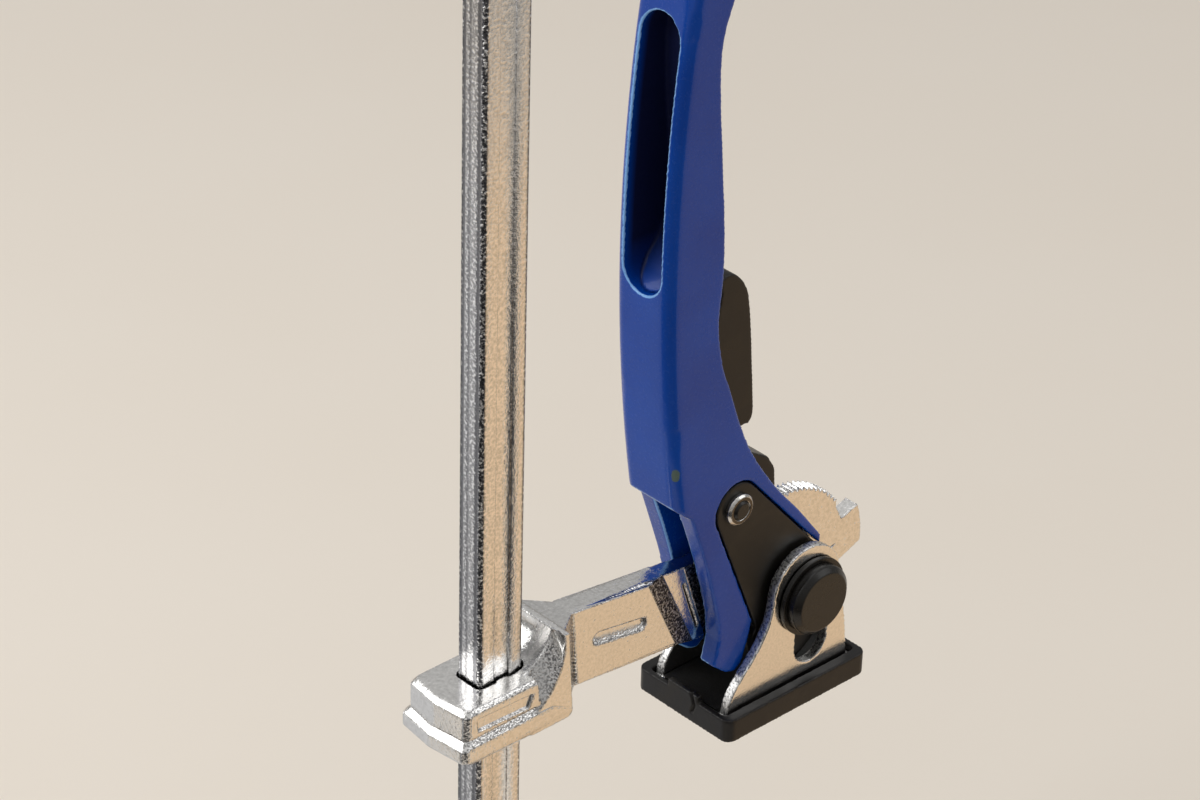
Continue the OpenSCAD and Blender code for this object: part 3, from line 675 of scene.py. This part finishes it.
rough = worked(tree, "MULTIPLY_ADD", painted_pocket_shade, 0.45, ramp(tree, fine, 0.3, 0.7, 0.2, 0.3))
tree.links.new(coat, skin.inputs["Coat Weight"])
surfaced(tree, skin, tone, rough, height, 0.35, 0.1 * mm)

lever_shape = softened("lever", "painted_lever", 0.26 * mm, 8, most_triangles=195000)
settled(lever_shape, "painted_lever", lever_paint, "lever", "lever_paint", "lever")

# ---------------------------------------------------------------- cam plates
# Blackened steel plates set into the cheeks; their lower edge is the cam that presses the foot.
# The trigger's pin ties them to the lever.

plate_black = dark_finish("plate_black", 0.36, {"Grain": 2300.0, "Smooth": 0.3, "Dull": 0.48},
                          {"Flake_Size": 900.0, "From": 0.4, "To": 1.0},
                          ((0.007, 0.006, 0.005), (0.016, 0.012, 0.009), (0.035, 0.031, 0.028)),
                          0.4, 0.03 * mm)
for side in ("near", "far"):
    settled(softened("cam_plate_" + side, "cam_" + side, 0.22 * mm, 3), "cam_" + side, plate_black,
            "lever", "black_steel", "cam_plate_" + side)

# ---------------------------------------------------------------- trigger pin and its collars
# A blackened steel pin that ties the cam plates to the lever.
# Its chamfered ends stand a little proud of bright turned collars.

low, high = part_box("trigger_pin")
rivet = ((low.x + high.x) / 2, (low.z + high.z) / 2)
rivet_r, rivet_chamfer = (high.x - low.x) / 2, 0.45 * mm
collar_chamfer, collar_chamfer_long = 0.45 * mm, 0.4 * mm
bore_chamfer, bore_chamfer_long = 0.15 * mm, 0.2 * mm

turned_bright, tree, skin, place = finish_of("turned_bright", (0.72, 0.70, 0.67), Metallic=1.0)
grain = placed(tree, plating_grain, Place=place, Speckle_Size=3000.0, Smooth=0.14, Dull=0.3)
tone = toned(tree, grain["Speckle"], (0.6, 0.58, 0.55), (0.8, 0.78, 0.75))
# its face is painted dark between a bright rim and a bright bore, as a painted reflection
radius = distance(tree, place, (rivet[0], 0, rivet[1]), (1, 0, 1))
wobble = worked(tree, "MULTIPLY_ADD", grain["Height"], 0.25 * mm, radius)
painted_dark_ring = worked(tree, "MULTIPLY", ramp(tree, wobble, 2.8 * mm, 2.68 * mm),
               ramp(tree, wobble, 2.12 * mm, 2.2 * mm))
tone = toned(tree, painted_dark_ring, tone, (0.10, 0.09, 0.08))
surfaced(tree, skin, tone, grain["Roughness"], grain["Height"], 0.4, 0.03 * mm)

bm = turned(rivet, [(0, low.y), (rivet_r - rivet_chamfer, low.y), (rivet_r, low.y + rivet_chamfer),
                    (rivet_r, high.y - rivet_chamfer), (rivet_r - rivet_chamfer, high.y),
                    (0, high.y)], steps=72)
round_edges(bm, sharp_edges(bm, 30), 0.1 * mm, 2)
settled(bm, "pin_of_trigger", black_oxide, "lever", "black_steel", "trigger_pin")
for side, node, name in ((-1, "trigger_collar_near", "bright_collar_near"),
                         (1, "trigger_collar_far", "bright_collar_far")):
    low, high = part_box(node)
    collar_r = (high.x - low.x) / 2
    inside, outside = (high.y, low.y) if side < 0 else (low.y, high.y)
    bm = turned(rivet, [(rivet_r, inside), (collar_r, inside),
                        (collar_r, outside - side * collar_chamfer_long),
                        (collar_r - collar_chamfer, outside), (rivet_r + bore_chamfer, outside),
                        (rivet_r, outside - side * bore_chamfer_long)], closed=True, steps=72)
    round_edges(bm, sharp_edges(bm, 30), 0.12 * mm, 3)
    settled(bm, name, turned_bright, "lever", "bright_pin", node)

# ---------------------------------------------------------------- release trigger and its spring
# A black finger lever behind the grip, with a nose that rides over the teeth.
# A small coil spring in the lever pushes its tab out again.

tab_low = 110.3 * mm
notch_middle, notch_size = (-15.4 * mm, 0, 141.6 * mm), (2.2 * mm, 2.6 * mm)
trigger_black = dark_finish("trigger_black", 0.36, {"Grain": 1700.0, "Smooth": 0.26, "Dull": 0.44},
                            {"Flake_Size": 600.0, "From": 0.4, "To": 1.1},
                            ((0.006, 0.005, 0.005), (0.016, 0.012, 0.009), (0.03, 0.026, 0.022)),
                            0.4, 0.04 * mm)


def flush_tab(bm):
    """Brings the web behind the finger tab out to the tab's own width, as the moulded sides are flush,
    and fills the notch at its top."""
    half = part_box("release_trigger")[1].y
    size = Matrix.Diagonal((notch_size[0], 2 * half, notch_size[1], 1))
    bmesh.ops.create_cube(bm, size=1, matrix=Matrix.Translation(notch_middle) @ size)
    for vert in bm.verts:
        if vert.co.z > tab_low and abs(vert.co.y) > half / 2:
            vert.co.y = math.copysign(half, vert.co.y)


trigger_shape = softened("release_trigger", "finger_trigger", 0.22 * mm, 6, flush_tab)
settled(trigger_shape, "finger_trigger", trigger_black, "trigger", "black_steel", "release_trigger")

spring_wire, tree, skin, place = finish_of("spring_wire", (0.6, 0.59, 0.57), Metallic=1.0)
grain = placed(tree, plating_grain, Place=place, Speckle_Size=2600.0, Smooth=0.2, Dull=0.36)
tone = toned(tree, grain["Speckle"], (0.48, 0.47, 0.46), (0.68, 0.67, 0.65))
surfaced(tree, skin, tone, grain["Roughness"], grain["Height"], 0.4, 0.02 * mm)
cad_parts["trigger_spring"].data.materials[0] = spring_wire

# ---------------------------------------------------------------- floor, light and camera
# A plain pale floor under the jaw, soft boxes on both sides and above, and a soft grey room.
# Three cards lie on the floor that only the gloss sees: they stand for what the plating reflects.

floor_level = min(cad_box[0].z, 0) - 0.2 * mm
card_level = floor_level + 2 * mm
card_middle, card_reach = (-0.045, -0.005), 0.9
light_aim = Vector((-0.03, 0, 0.1))


def object_of(bm, name):
    """The bmesh as an object of the scene."""
    mesh = bpy.data.meshes.new(name)
    bm.to_mesh(mesh)
    bm.free()
    thing = bpy.data.objects.new(name, mesh)
    bpy.context.scene.collection.objects.link(thing)
    return thing


bm = bmesh.new()
bmesh.ops.create_grid(bm, x_segments=1, y_segments=1, size=6)
bmesh.ops.translate(bm, verts=bm.verts, vec=(0, 0, floor_level))
floor = object_of(bm, "floor")
pale_floor, tree, skin, place = finish_of("pale_floor", (0.82, 0.75, 0.66), Roughness=0.7,
                                          Specular_IOR_Level=0.2)
tone = toned(tree, noise(tree, place, 9.0, 3.0), (0.81, 0.735, 0.64), (0.83, 0.765, 0.68))
tree.links.new(tone, skin.inputs["Base Color"])
floor.data.materials.append(pale_floor)

room = bpy.data.worlds.new("room")
bpy.context.scene.world = room
room.use_nodes = True
tree = room.node_tree
upward = parts_of(tree, socketed(tree, "TexCoord").outputs["Generated"])[2]
tree.links.new(ramp(tree, upward, 0.0, 0.9, 0.24, 0.62), tree.nodes["Background"].inputs["Strength"])
tree.nodes["Background"].inputs["Color"].default_value = (1.0, 0.99, 0.98, 1)

for name, stand, size, power in (("left_box", (-0.72, 0.42, 0.66), 0.85, 5.9),
                                 ("right_box", (0.56, -0.60, 0.66), 0.6, 1.3),
                                 ("top_box", (0.05, 0.1, 1.2), 0.6, 1.0)):
    lamp = bpy.data.lights.new(name, "AREA")
    lamp.shape = "SQUARE"
    lamp.size = size
    lamp.energy = power
    box = bpy.data.objects.new(name, lamp)
    box.location = stand
    box.rotation_euler = (light_aim - Vector(stand)).to_track_quat("-Z", "Y").to_euler()
    bpy.context.scene.collection.objects.link(box)

# each card is a fan between two directions, in degrees: a dark one before the camera, and a white one
# and a warm one beside it
for name, start, end, near, card_tone in (("dark_card", 155, 291, 0.13, (0.03, 0.03, 0.032)),
                                          ("white_card", 95, 150, 0.03, (0.62, 0.62, 0.63)),
                                          ("warm_card", 296, 350, 0.03, (0.92, 0.67, 0.43))):
    first, last = math.radians(start), math.radians(end)
    bm = bmesh.new()
    line = [bm.verts.new((r * math.cos(first), r * math.sin(first), 0)) for r in (near, card_reach)]
    side = bm.edges.new(line)
    bmesh.ops.spin(bm, geom=line + [side], cent=(0, 0, 0), axis=(0, 0, 1), angle=last - first, steps=24,
                   use_merge=False)
    bmesh.ops.translate(bm, verts=bm.verts, vec=(*card_middle, card_level))
    bmesh.ops.recalc_face_normals(bm, faces=bm.faces)
    card = object_of(bm, name)
    card.visible_camera = False
    card.visible_diffuse = False
    card.visible_shadow = False
    paper, tree, skin, place = finish_of(name + "_paper", card_tone, Roughness=0.9)
    tone = toned(tree, noise(tree, place, 30.0), tuple(0.9 * c for c in card_tone), card_tone)
    tree.links.new(tone, skin.inputs["Base Color"])
    card.data.materials.append(paper)

# the camera looks at the clamp from where the photograph was taken
camera_aim, camera_distance = Vector((-0.0408, -0.0001, 0.1266)), 0.66
azimuth, elevation, roll = math.radians(-43.26), math.radians(31.05), math.radians(1.58)
lens = bpy.data.cameras.new("camera")
lens.sensor_width = 36
lens.sensor_fit = "HORIZONTAL"
lens.lens = 116.52
lens.clip_start = 0.05
lens.clip_end = 30
camera = bpy.data.objects.new("camera", lens)
bpy.context.scene.collection.objects.link(camera)
bpy.context.scene.camera = camera
back = Vector((math.sin(azimuth) * math.cos(elevation), -math.cos(azimuth) * math.cos(elevation),
               math.sin(elevation)))
right = (-back).cross(Vector((0, 0, 1))).normalized()
up = right.cross(-back)
tilted_right = math.cos(roll) * right + math.sin(roll) * up
tilted_up = -math.sin(roll) * right + math.cos(roll) * up
camera.matrix_world = Matrix.Translation(camera_aim + camera_distance * back) @ Matrix(
    (tilted_right, tilted_up, back)).transposed().to_4x4()

bpy.context.scene.view_settings.view_transform = "Standard"

bpy.context.view_layer.update()
